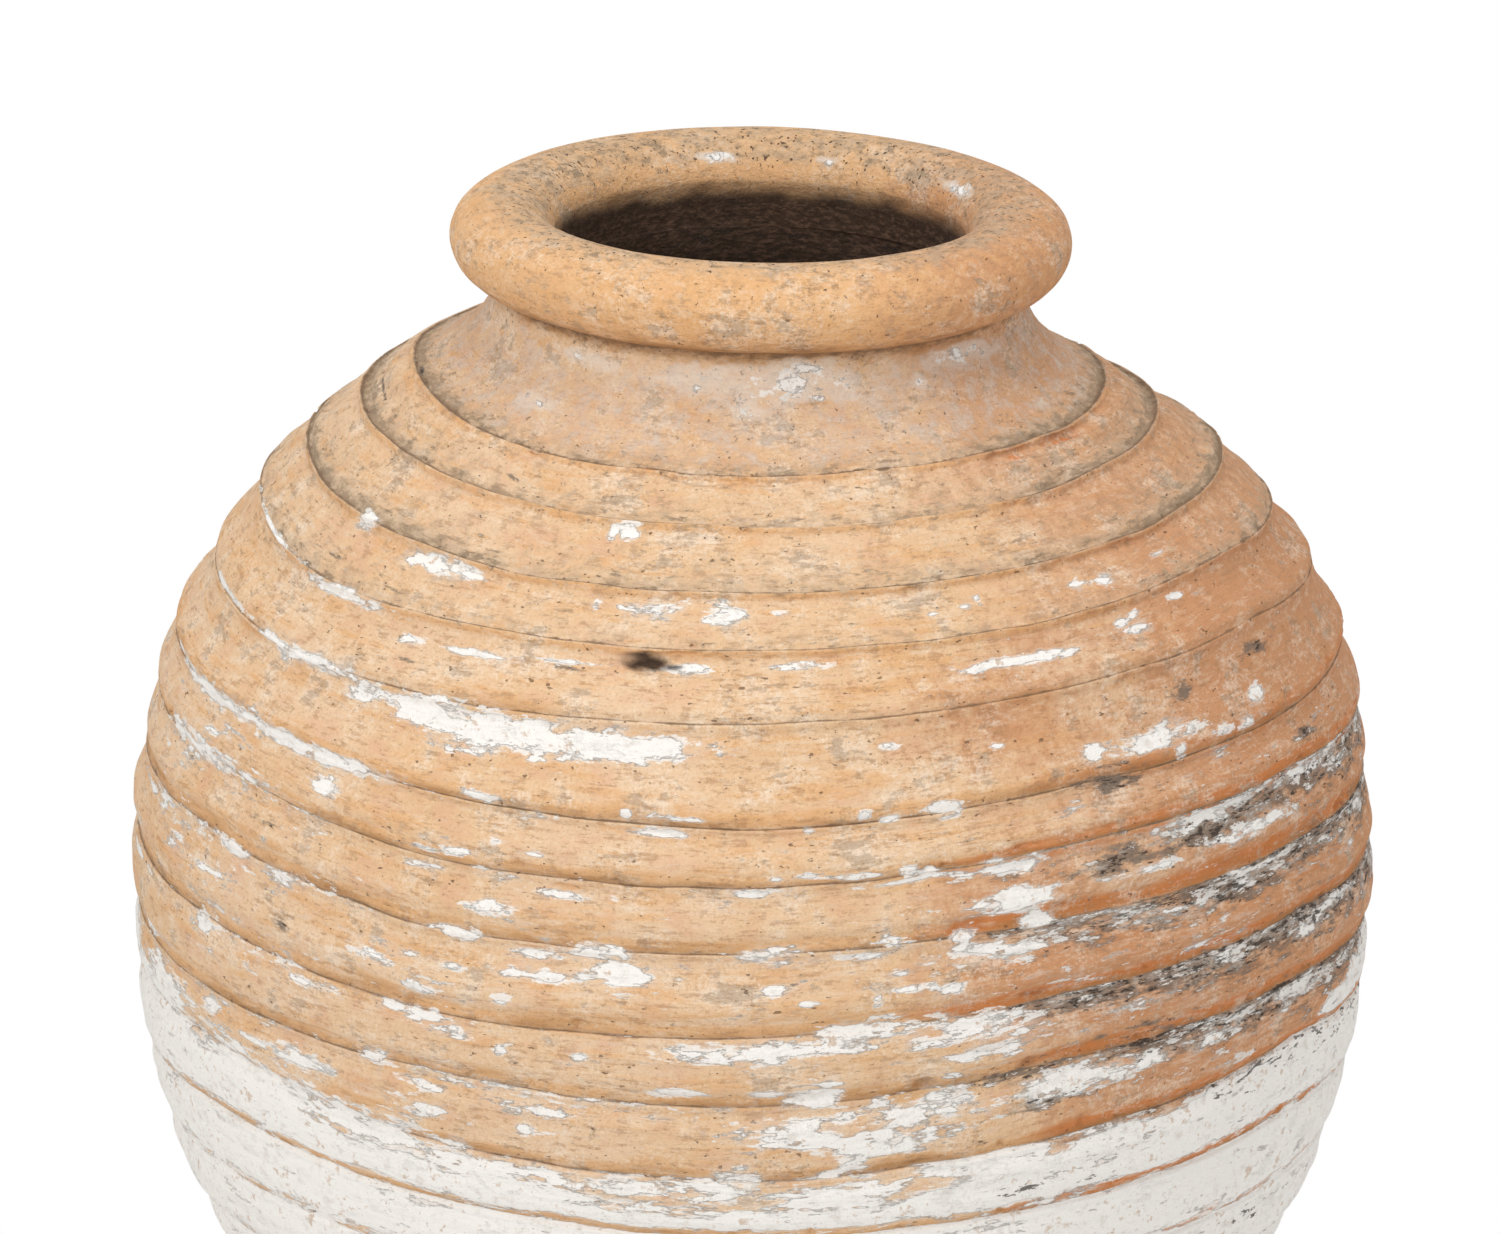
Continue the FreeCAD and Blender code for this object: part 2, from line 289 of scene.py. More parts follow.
class JarStage(bpy.types.PropertyGroup):
    """The camera and the light."""
    lens: bpy.props.FloatProperty(
        name="Lens", description="Focal length on a 36 mm sensor", unit="CAMERA", default=191.4)
    eye: bpy.props.FloatVectorProperty(
        name="Eye", description="Where the camera stands", subtype="TRANSLATION", unit="LENGTH",
        default=(0, -4.257, 2.059))
    target: bpy.props.FloatVectorProperty(
        name="Target", description="What the camera looks at", subtype="TRANSLATION", unit="LENGTH",
        default=(0, 0, 0.6595))
    roll: bpy.props.FloatProperty(
        name="Roll", description="How far the camera leans", subtype="ANGLE", default=0.019)
    shift: bpy.props.FloatProperty(name="Shift", description="Sideways shift of the view", default=-0.0052)
    sky: bpy.props.FloatProperty(name="Sky", description="Even light from all round", min=0, default=0.58)
    key: bpy.props.FloatProperty(
        name="Key lamp", description="Large soft lamp, front left", unit="POWER", min=0, default=52)
    fill: bpy.props.FloatProperty(
        name="Fill lamp", description="Large soft lamp, front right", unit="POWER", min=0, default=14)
    top: bpy.props.FloatProperty(
        name="Top lamp", description="Large soft lamp overhead", unit="POWER", min=0, default=24)


def eased(points, at):
    """Passes a smooth curve through (place, value) points, with no overshoot."""
    place, value = np.array(points, float).T
    slope = np.diff(value) / np.diff(place)
    bend = np.concatenate([slope[:1], np.zeros(len(slope) - 1), slope[-1:]])
    same_way = slope[1:] * slope[:-1] > 0
    harmonic = np.zeros(len(slope) - 1)
    harmonic[same_way] = 2 / (1 / slope[1:][same_way] + 1 / slope[:-1][same_way])
    bend[1:-1] = harmonic
    k = np.clip(np.searchsorted(place, at) - 1, 0, len(place) - 2)
    span = place[k + 1] - place[k]
    t = (at - place[k]) / span
    return (
        (2 * t ** 3 - 3 * t ** 2 + 1) * value[k] + (t ** 3 - 2 * t ** 2 + t) * span * bend[k]
        + (3 * t ** 2 - 2 * t ** 3) * value[k + 1] + (t ** 3 - t ** 2) * span * bend[k + 1]
    )


def smoothstep(low, high, value):
    t = np.clip((value - low) / (high - low), 0, 1)
    return t * t * (3 - 2 * t)


def lumps(x, y, z, seed):
    """Smooth random heights from -1 to 1, at points given in units of one lump."""
    cells = [np.floor(v).astype(np.int64) for v in (x, y, z)]
    parts = [v - c for v, c in zip((x, y, z), cells)]
    fades = [p * p * p * (p * (p * 6 - 15) + 10) for p in parts]
    total = np.zeros(np.broadcast(x, y, z).shape)
    for corner in range(8):
        key = np.uint64(seed * 7919 + 13)
        weight = 1.0
        for axis, prime in enumerate((73856093, 19349663, 83492791)):
            step = corner >> axis & 1
            key = key ^ ((cells[axis] + step).astype(np.uint64) * np.uint64(prime))
            weight = weight * (fades[axis] if step else 1 - fades[axis])
        key = (key ^ (key >> np.uint64(13))) * np.uint64(0x9E3779B97F4A7C15)
        key = (key ^ (key >> np.uint64(29))) * np.uint64(0xBF58476D1CE4E5B9)
        total += weight * ((key >> np.uint64(40)).astype(float) / 2 ** 23 - 1)
    return total


def lengths_along(points):
    """How far along a line each of its points is."""
    gaps = np.linalg.norm(np.diff(points, axis=0), axis=1)
    return np.concatenate([[0], np.cumsum(gaps)])


def row_places(length, shape):
    """Shares of the way along a course, closer together at its two ribs."""
    fine = shape.fine_row / MM
    plain = shape.plain_row / MM
    places = [0.0]
    while places[-1] < length:
        nearest = min(places[-1], length - places[-1])
        places.append(places[-1] + fine + (plain - fine) * min(max(nearest - 3, 0) / 6, 1))
    return np.array(places) / places[-1]


class Skin:
    """The outer face as rows from the throat over the rim and down to the underside."""

    def __init__(self, shape):
        self.rows = []
        self.marks = {}
        self.add_rim()
        self.mark("rim")
        self.add_curve(NECK, 1.8, 0, 1, first=True)
        self.mark(1)
        for number in range(1, len(RIBS)):
            self.add_course(number, shape)
            self.mark(number + 1)
        self.add_curve([RIBS[-1]] + FOOT, 3.2, len(RIBS), len(RIBS) + 1)
        data = np.array(self.rows)
        self.point = data[:, :2]
        self.position = data[:, 2]
        self.form = data[:, 3]
        self.lip = data[:, 4]
        for name, height in (("neck", NECK_SEAM), ("foot", FOOT_SEAM), ("base", BASE_SEAM)):
            self.marks[name] = int(np.argmin(np.abs(self.point[:, 1] - height)))
        step = np.gradient(self.point, axis=0)
        step /= np.linalg.norm(step, axis=1)[:, None] + 1e-9
        self.normal = np.stack([-step[:, 1], step[:, 0]], 1)
        self.along = lengths_along(self.point)
        lines = np.array([self.along[self.marks[n + 1]] for n in range(len(RIBS))])
        past = self.along[:, None] - lines
        self.under_line = np.min(np.where(past >= 0, past, NO_LINE), 1)
        self.over_line = np.min(np.where(past <= 0, -past, NO_LINE), 1)

    def mark(self, name):
        self.marks[name] = len(self.rows) - 1

    def add_rim(self):
        """The roll: from the throat's seam, up the inside, over the top and under the outside."""
        turn = np.radians(np.linspace(180, -80, 86))
        roll = np.array(RIM_MIDDLE) + np.stack([np.cos(turn), np.sin(turn)], 1) * RIM_HALF
        throat = [(THROAT_SEAM[0], THROAT_SEAM[1] + rise) for rise in range(0, 24, 3)]
        throat = [(r - 2.0 * smoothstep(0, 24, z - THROAT_SEAM[1]), z) for r, z in throat]
        points = throat + [tuple(p) for p in roll]
        for k, (r, z) in enumerate(points):
            self.rows.append((r, z, k / len(points) - 1, 0.0, 0.0))

    def add_curve(self, points, spacing, rib_above, rib_below, first=False):
        """A smooth curve through (radius, height) points, with even rows between two positions."""
        points = np.array(points)
        places = lengths_along(points)
        count = max(int(places[-1] / spacing), 2)
        at = np.linspace(0, places[-1], count + 1)[0 if first else 1:]
        radius = eased(np.stack([places, points[:, 0]], 1), at)
        height = eased(np.stack([places, points[:, 1]], 1), at)
        for r, z, a in zip(radius, height, at):
            share = a / places[-1]
            self.rows.append((r, z, rib_above + (rib_below - rib_above) * share, 0.0, 0.0))

    def add_course(self, number, shape):
        top = np.array(RIBS[number - 1])
        bottom = np.array(RIBS[number])
        way = bottom - top
        length = np.linalg.norm(way)
        out = np.array([-way[1], way[0]]) / length
        share = row_places(length, shape)[1:]
        past = share * length
        left = (1 - share) * length
        rise = eased([(0, 0), *zip(FORM_PLACES, COURSE_FORM[number - 1]), (1, 0)], share)
        rise += LIP_HEIGHT[number - 1] * np.exp(-((past - 2.0) / 1.6) ** 2)
        rise -= LIP_HEIGHT[number] * 1.2 * np.exp(-((left - 2.5) / 3.0) ** 2)
        high = np.exp(-((past - 2.2) / 3.0) ** 2)
        low = smoothstep(12, 5, left) * smoothstep(0.3, 1.5, left)
        crest = high if number < LEDGES else np.maximum(0.6 * high, low) if number <= LAST_TURN else low
        for s, n, lip in zip(share, rise, crest):
            point = top + way * s + out * n
            self.rows.append((point[0], point[1], number + s, n, lip))


def round_the_jar(bearing, values):
    """Reads a list of values a twelfth of a turn apart, smoothly, at every bearing."""
    rounds = np.interp(np.degrees(bearing), DRIFT_BEARINGS, values, period=360)
    width = max(len(bearing) // 24, 3)
    kernel = np.hanning(width + 2)[1:-1]
    padded = np.concatenate([rounds[-width:], rounds, rounds[:width]])
    return np.convolve(padded, kernel / kernel.sum(), "same")[width:-width]


def drift_at(position, bearing):
    """How far the wall has climbed at each row's position, in mm."""
    still = (0,) * len(DRIFT_BEARINGS)
    rounds = np.array([round_the_jar(bearing, row) for row in [still, *RIB_DRIFT, still]])
    position = np.clip(position, 0, len(rounds) - 1)
    low = np.clip(np.floor(position).astype(int), 0, len(rounds) - 2)
    share = (position - low)[:, None]
    return rounds[low] * (1 - share) + rounds[low + 1] * share


def reach_of(patch, skin, bearing, radius):
    """How far each vertex is from a patch's middle, where 1 is the patch's edge."""
    turn = (bearing[None] - math.radians(patch[0]) + math.pi) % (2 * math.pi) - math.pi
    down = skin.along - np.interp(patch[1], skin.position, skin.along)
    return np.sqrt((turn * radius / patch[2]) ** 2 + (down[:, None] / patch[3]) ** 2)


def skin_places(skin, shape, bearing):
    """Every vertex of the outer face as radius and height in mm, rows by columns."""
    flat = np.zeros_like(bearing)[None]
    sway = np.interp(skin.position, range(len(SWAY)), SWAY)[:, None]
    true_radius = skin.point[:, :1] + sway * np.sin(bearing)
    true_height = skin.point[:, 1:] + flat
    x, y, z = true_radius * np.sin(bearing), -true_radius * np.cos(bearing), true_height
    place = skin.position[:, None] + flat
    down = skin.along[:, None] + flat
    moving = smoothstep(0.0, 1.0, place)
    height = true_height + drift_at(skin.position, bearing)
    height += moving * shape.wander / MM * lumps(x / 30, y / 30, place * 1.9, 11)
    course = np.floor(place)
    fuller = shape.unevenness * lumps(
        np.sin(bearing)[None] * 3.1 + 40 * course, np.cos(bearing)[None] * 3.1, course * 9.7, 3)
    swell = shape.lump / MM * (lumps(x / 75, y / 75, z / 75, 5) + 0.4 * lumps(x / 24, y / 24, z / 24, 6))
    held = smoothstep(0.0, 4.0, np.abs(skin.form))[:, None]
    held[skin.position < 1] = 0.6
    ridges = lumps(x / 160, y / 160, down / 4.6, 12) + 0.6 * lumps(x / 60, y / 60, down / 2.9, 13)
    push = skin.form[:, None] * fuller + swell * held * 0.8
    push += shape.ridge / MM * ridges * np.where(place < 0.1, 0.25, 0.3 + 0.7 * held)
    nibble = lumps(x / 9, y / 9, z / 9, 8) + 0.6 * lumps(x / 4.2, y / 4.2, z / 4.2, 9)
    worn = 0.5 + 0.5 * lumps(x / 110, y / 110, z / 60, 14)
    push -= shape.chip / MM * skin.lip[:, None] * smoothstep(0.75 - 0.4 * worn, 1.25 - 0.3 * worn, nibble)
    for patch in HOLLOWS:
        reach = reach_of(patch, skin, bearing, true_radius) + 0.12 * nibble
        push -= patch[4] * (1 - smoothstep(0.55, 1.0, reach))
    radius = true_radius + push * skin.normal[:, :1]
    height += push * skin.normal[:, 1:]
    ease = smoothstep(BASE_SEAM, 300.0, skin.point[:, 1])[:, None]
    radius = skin.point[:, :1] + (radius - skin.point[:, :1]) * ease
    height = skin.point[:, 1:] + (height - skin.point[:, 1:]) * ease
    # The widest lips are eased back, so that none stands out of the CAD model's box.
    room = 1.0
    over = radius - (CAD_BOX[1][0] / MM - room - 0.1)
    radius = np.where(over > 0, radius - over + room * (1 - np.exp(-np.maximum(over, 0) / room)), radius)
    height = np.clip(height, 0, CAD_BOX[1][2] / MM - 0.1)
    return radius, height


def lining_rows(shape):
    """The inner face as rows of (radius, height) from the throat down to the floor inside."""
    points = np.array(LINING)
    places = lengths_along(points)
    rows = []
    for place, gap in zip(places, np.diff(places)):
        count = max(int(gap / (shape.inside_row / MM)), 1)
        rows += [place + gap * i / count for i in range(count)]
    at = np.array(rows + [places[-1]])
    radius = eased(np.stack([places, points[:, 0]], 1), at)
    height = eased(np.stack([places, points[:, 1]], 1), at)
    return np.stack([radius, height], 1)


def lining_places(lining, bearing):
    radius = lining[:, :1] + np.zeros_like(bearing)[None]
    height = lining[:, 1:] + np.zeros_like(bearing)[None]
    x = radius * np.sin(bearing)
    y = -radius * np.cos(bearing)
    swell = 1.4 * lumps(x / 60, y / 60, height / 30, 21) + 0.8 * np.sin(height / 7.0)
    inner = smoothstep(THROAT_SEAM[1], THROAT_SEAM[1] - 20, height) * smoothstep(30, 60, height)
    return radius + swell * inner, height


def cover_of(patches, skin, bearing, radius):
    """How strongly a list of patches covers each vertex, falling below 0 away from them."""
    x, y = radius * np.sin(bearing), radius * np.cos(bearing)
    down = skin.along[:, None]
    torn = 0.45 * lumps(x / 14, y / 14, down / 6, 31) + 0.35 * lumps(x / 6, y / 6, down / 3, 32)
    cover = np.full(radius.shape, -1.0)
    for patch in patches:
        reach = reach_of(patch, skin, bearing, radius)
        cover = np.maximum(cover, patch[4] + 0.25 - 0.75 * (reach + torn))
    return cover


MASKS = (
    "wash", "haze", "dust", "groove_grime_and_shade", "smudge_and_shade", "crest", "ember", "stain", "red", "soot_and_hole_shade", "pitted",
)


def surface_masks(skin, bearing, radius):
    """How much of each thing has settled on the outer face, from 0 to 1.

    Levels of place and past are positions down the wall, and lengths set against above
    and below are mm from the nearest rib's line."""
    place = skin.position[:, None] + np.zeros_like(radius)
    side = np.sin(bearing)[None] + 0.2 * lumps(np.sin(bearing) * 3, np.cos(bearing) * 3, place * 0.8, 37)
    below = skin.under_line[:, None]
    above = skin.over_line[:, None]
    shoulder = 1 - smoothstep(2.6, 5.6, place)
    stained = smoothstep(0.3, 0.65, side) * smoothstep(5.9, 7.1, place)
    stained = stained * (1 - smoothstep(11.4, 12.6, place))

    # The wash lies where this is over a half, and well below 0 it leaves the clay bare.
    past = place - round_the_jar(bearing, WASH_LINE)[None]
    sheltered = np.exp(-below / 12) * (place > 4.9)
    wash = -0.5 + 0.3 * sheltered * smoothstep(4.9, 7, place) + 0.2 * smoothstep(-4, -1, past)
    x, y = radius * np.sin(bearing), radius * np.cos(bearing)
    crumbling = smoothstep(-0.1, 0.6, lumps(x / 60, y / 60, skin.along[:, None] / 16, 34))
    wash += 0.38 * crumbling * smoothstep(4.5, 7, place)
    streaks = 0.3 * lumps(x / 40, y / 40, skin.along[:, None] / 5, 35)
    sheltered_streaks = -0.45 + 0.8 * np.exp(-((below - 4) / 14) ** 2) + streaks
    wash = np.maximum(wash, stained * sheltered_streaks - 0.5 * (1 - stained))
    torn = 0.3 * lumps(x / 45, y / 45, skin.along[:, None] / 14, 36)
    wash = np.maximum(wash, -0.5 + 1.6 * smoothstep(-0.3, 0.4, past + torn))
    wash -= (1.1 - 0.6 * smoothstep(0.4, 2.2, past)) * skin.lip[:, None] * smoothstep(-1, 0, past)
    wash = np.where(place < 1, -0.6, wash)
    hazes = cover_of(HAZES, skin, bearing, radius)
    flakes = cover_of(FLAKES, skin, bearing, radius)
    wash = np.maximum(wash, np.maximum(flakes, hazes - 0.4))
    veiled = smoothstep(0.0, 0.2, place) * (1 - smoothstep(0.7, 1.15, place))
    haze = 0.2 + 0.4 * (wash + 0.5) + 0.9 * np.clip(hazes, 0, 1) + 0.48 * veiled
    haze = np.clip(haze, 0, 1)

    ledge = np.exp(-above / 10) + 0.4 * np.exp(-below / 2)
    sides = 0.4 + 0.6 * smoothstep(0.5, 0.9, np.abs(side))
    dust = np.clip(ledge, 0, 1) * (0.2 + 0.7 * shoulder * sides) + 0.25 * shoulder
    on_top = smoothstep(-0.86, -0.78, place) * (1 - smoothstep(-0.6, -0.45, place))
    dust = np.where(place < 0, 0.25 + 0.35 * on_top, dust)
    # Dark along each rib's line: grime, with painted shade of the crease over it
    groove_grime_and_shade = 0.85 * np.exp(-above / 1.2) + 0.6 * np.exp(-below / 0.9)
    groove_grime_and_shade = groove_grime_and_shade + 0.5 * np.exp(-above / 6) * shoulder * smoothstep(0.45, 0.9, np.abs(side))
    groove_grime_and_shade = np.clip(groove_grime_and_shade, 0, 1)
    # Under the rim's roll the crease gets painted shadow
    under_rim = np.exp(-((place - 0.01) / 0.07) ** 2)
    groove_grime_and_shade = np.where(np.abs(place) < 0.25, 0.8 * under_rim, groove_grime_and_shade)
    # A brown band above each line on the belly: painted shade under the lip's turn, with some grime; and
    # painted shadow under the rim's roll
    smudge_and_shade = 0.8 * np.exp(-above / 5.5) * smoothstep(3, 7, place)
    smudge_and_shade = 0.85 * np.clip(smudge_and_shade + 0.9 * np.exp(-((place + 0.03) / 0.12) ** 2), 0, 1)

    stain = -0.6 + 1.45 * stained * (0.3 + 0.7 * np.exp(-(below / 20) ** 2))
    stain = np.maximum(stain, cover_of(STAINS, skin, bearing, radius) - 0.25)
    stain -= 0.6 * skin.lip[:, None] * stained

    # Redder and darker towards +X: part the clay's own colour, part painted shade of the side away from the
    # key lamp. The neck is pinker.
    red = smoothstep(0.2, 0.75, side) * (0.6 + 0.4 * smoothstep(2, 7, place))
    red = np.maximum(red, 0.38 * smoothstep(0.0, 0.4, place) * (1 - smoothstep(0.9, 1.4, place)))
    ember = smoothstep(0.2, 0.6, side) * smoothstep(4.5, 7, place) * (0.3 + 0.7 * skin.lip[:, None])
    ember = np.maximum(ember, np.clip(cover_of(FRESH_CHIPS, skin, bearing, radius), 0, 1))
    edge = place + 0.008 * lumps(6 * np.sin(bearing), 6 * np.cos(bearing), place * 30, 33)
    soot_and_hole_shade = 1 - smoothstep(-0.965, -0.865, edge)
    # The deepest hollow gets the soot colour as painted shade
    soot_and_hole_shade = np.maximum(soot_and_hole_shade, np.clip(cover_of(HOLE_SHADE, skin, bearing, radius), 0, 1))
    pitted = smoothstep(-0.93, -0.8, place) * (1 - smoothstep(-0.62, -0.3, place))
    crest = np.where(place < 0, 1.1, skin.lip[:, None])
    return [wash, haze, dust, groove_grime_and_shade, smudge_and_shade, crest, ember, stain, red, soot_and_hole_shade, pitted]


class Body:
    """Both faces of the wall with all that is known of each vertex."""

    def __init__(self, shape):
        self.bearing = (np.arange(shape.columns) + 0.5) / shape.columns * 2 * math.pi - math.pi
        self.skin = Skin(shape)
        radius, height = skin_places(self.skin, shape, self.bearing)
        self.outer = (radius, height, np.repeat(self.skin.along[:, None], shape.columns, 1))
        self.outer_masks = surface_masks(self.skin, self.bearing, radius)
        self.lining = lining_rows(shape)
        inner_radius, inner_height = lining_places(self.lining, self.bearing)
        along = -lengths_along(self.lining)
        self.inner = (inner_radius, inner_height, np.repeat(along[:, None], shape.columns, 1))
        blank = np.zeros_like(inner_radius)
        self.inner_masks = [blank + (label == "soot_and_hole_shade") for label in MASKS]

    def inner_mark(self, name):
        if name == "rim":
            return 0
        levels = {"neck": NECK_SEAM, "foot": FOOT_SEAM, "base": BASE_SEAM}
        level = levels[name] if name in levels else RIBS[name - 1][1]
        return int(np.argmin(np.abs(self.lining[:, 1] - level)))

    def loop(self, top, bottom):
        """The closed section of one stage: down the outer face, and back up the inner one."""
        a, b = self.skin.marks[top], self.skin.marks[bottom]
        c, d = self.inner_mark(top), self.inner_mark(bottom)
        sheets = [np.concatenate([o[a:b + 1], i[c:d + 1][::-1]]) for o, i in zip(self.outer, self.inner)]
        masks = [
            np.concatenate([o[a:b + 1], i[c:d + 1][::-1]])
            for o, i in zip(self.outer_masks, self.inner_masks)
        ]
        return sheets, masks

    def rim_loop(self):
        b = self.skin.marks["rim"]
        return [o[:b + 1] for o in self.outer], [m[:b + 1] for m in self.outer_masks]

    def base_loop(self):
        """The base's open section, from the middle of the floor inside round to the underside."""
        a = self.skin.marks["base"]
        rings = np.array([1.0, 0.75, 0.5, 0.25, 0.02])
        inner = [
            self.inner[0][-1:] * rings[::-1, None], np.full((5, len(self.bearing)), BASE_SEAM),
            np.repeat(self.inner[2][-1:], 5, 0),
        ]
        under_radius = self.outer[0][-1:] * rings[1:, None]
        under = [under_radius, np.zeros_like(under_radius), np.repeat(self.outer[2][-1:], 4, 0)]
        sheets = [np.concatenate([i, o[a:], u]) for i, o, u in zip(inner, self.outer, under)]
        masks = [
            np.concatenate([np.repeat(i[-1:], 5, 0), o[a:], np.repeat(o[-1:], 4, 0)])
            for i, o in zip(self.inner_masks, self.outer_masks)
        ]
        return sheets, masks


_body = []


def jar_body(scene):
    """The whole wall, worked out once for all the operators."""
    if not _body:
        _body.append(Body(scene.jar_shape))
    return _body[0]


def turned_piece(name, body, sheets, masks, closed=True):
    """Makes the mesh of one stage from rows of vertices that run round the jar."""
    radius, height, along = sheets
    rows, columns = radius.shape
    bearing = body.bearing
    places = np.stack([radius * np.sin(bearing), -radius * np.cos(bearing), height], -1) * MM
    upper = np.arange(rows if closed else rows - 1)
    lower = (upper + 1) % rows
    left = np.arange(columns)
    right = (left + 1) % columns
    quads = np.stack([
        (upper[:, None] * columns + left[None]), (lower[:, None] * columns + left[None]),
        (lower[:, None] * columns + right[None]), (upper[:, None] * columns + right[None]),
    ], -1).reshape(-1, 4)
    mesh = bpy.data.meshes.new(name)
    faces = quads.tolist()
    if not closed:
        faces.append(list(range(columns)))
        faces.append(list(range(rows * columns - 1, (rows - 1) * columns - 1, -1)))
    mesh.from_pydata(places.reshape(-1, 3).tolist(), [], faces, shade_flat=False)
    add_turned_uvs(mesh, len(upper), columns)
    for label, mask in zip(MASKS, masks):
        layer = mesh.attributes.new(label, "FLOAT", "POINT")
        layer.data.foreach_set("value", mask.astype(np.float32).ravel())
    swirl = np.stack([np.sin(bearing) + 0 * radius, -np.cos(bearing) + 0 * radius, along * MM], -1)
    layer = mesh.attributes.new("swirl", "FLOAT_VECTOR", "POINT")
    layer.data.foreach_set("vector", swirl.astype(np.float32).ravel())
    mesh.set_sharp_from_angle(angle=SHARP_ANGLE)
    piece = bpy.data.objects.new(name, mesh)
    bpy.context.scene.collection.objects.link(piece)
    return piece


UV_STRIPS = 4
UV_MARGIN = 0.004


def add_turned_uvs(mesh, rows, columns):
    """Unrolls the rings into four strips, one above the other, with a gap between them."""
    layer = mesh.uv_layers.new(name="OFBake")
    per_strip = columns // UV_STRIPS
    column = np.arange(columns)
    strip = column // per_strip
    start = (column % per_strip) / per_strip
    end = start + 1 / per_strip
    clear = 1 - 2 * UV_MARGIN
    u_left = UV_MARGIN + clear * start
    u_right = UV_MARGIN + clear * end
    line = np.arange(rows + 1)[:, None] / rows
    gap = UV_MARGIN * UV_STRIPS
    v = (strip[None] + gap + (1 - 2 * gap) * (1 - line)) / UV_STRIPS
    wide = np.ones((rows, 1))
    corners = np.stack([
        np.stack([wide * u_left, v[:-1]], -1), np.stack([wide * u_left, v[1:]], -1),
        np.stack([wide * u_right, v[1:]], -1), np.stack([wide * u_right, v[:-1]], -1),
    ], 2)
    flat = corners.reshape(-1, 2)
    # The two end faces of an open section share one spot in the corner
    extra = len(mesh.loops) - len(flat)
    flat = np.concatenate([flat, np.full((extra, 2), 0.001)])
    layer.data.foreach_set("uv", flat.astype(np.float32).ravel())


def place_piece(piece, node, material):
    piece.data.materials.append(material)
    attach(piece, "root")
    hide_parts(node)


def add(tree, kind, inputs=None, **settings):
    """Adds one node. inputs maps a socket to a value or to the socket that feeds it."""
    made = tree.nodes.new(kind)
    for name, value in settings.items():
        setattr(made, name, value)
    for name, value in (inputs or {}).items():
        if isinstance(value, bpy.types.NodeSocket):
            tree.links.new(value, made.inputs[name])
        else:
            made.inputs[name].default_value = value
    return made


# The patterns in the clay: which way they run, the size in mm, the detail and the roughness.
# "solid" is even. "drawn", "smeared" and "wiped" are pulled out level about 2, 4 and 7 times
# at the belly.
PATTERNS = {
    "broad": ("solid", 95, 3, 0.5),
    "cloud": ("solid", 26, 5, 0.64),
    "mottle": ("solid", 10, 6, 0.72),
    # The real grit is 0.3 to 1 mm, drawn at about 2 mm so that it shows
    "grit": ("solid", 2.0, 2, 0.8),
    "specks": ("smeared", 2.6, 3, 0.75),
    "crumbs": ("smeared", 5, 7, 0.72),
    "flaking": ("smeared", 8, 9, 0.68),
    "pores": ("drawn", 2.8, 2, 0.5),
    "wiping": ("wiped", 2.2, 4, 0.7),
    "bands": ("wiped", 9, 5, 0.62),
}
SQUEEZE = {"drawn": 0.17, "smeared": 0.09, "wiped": 0.05}


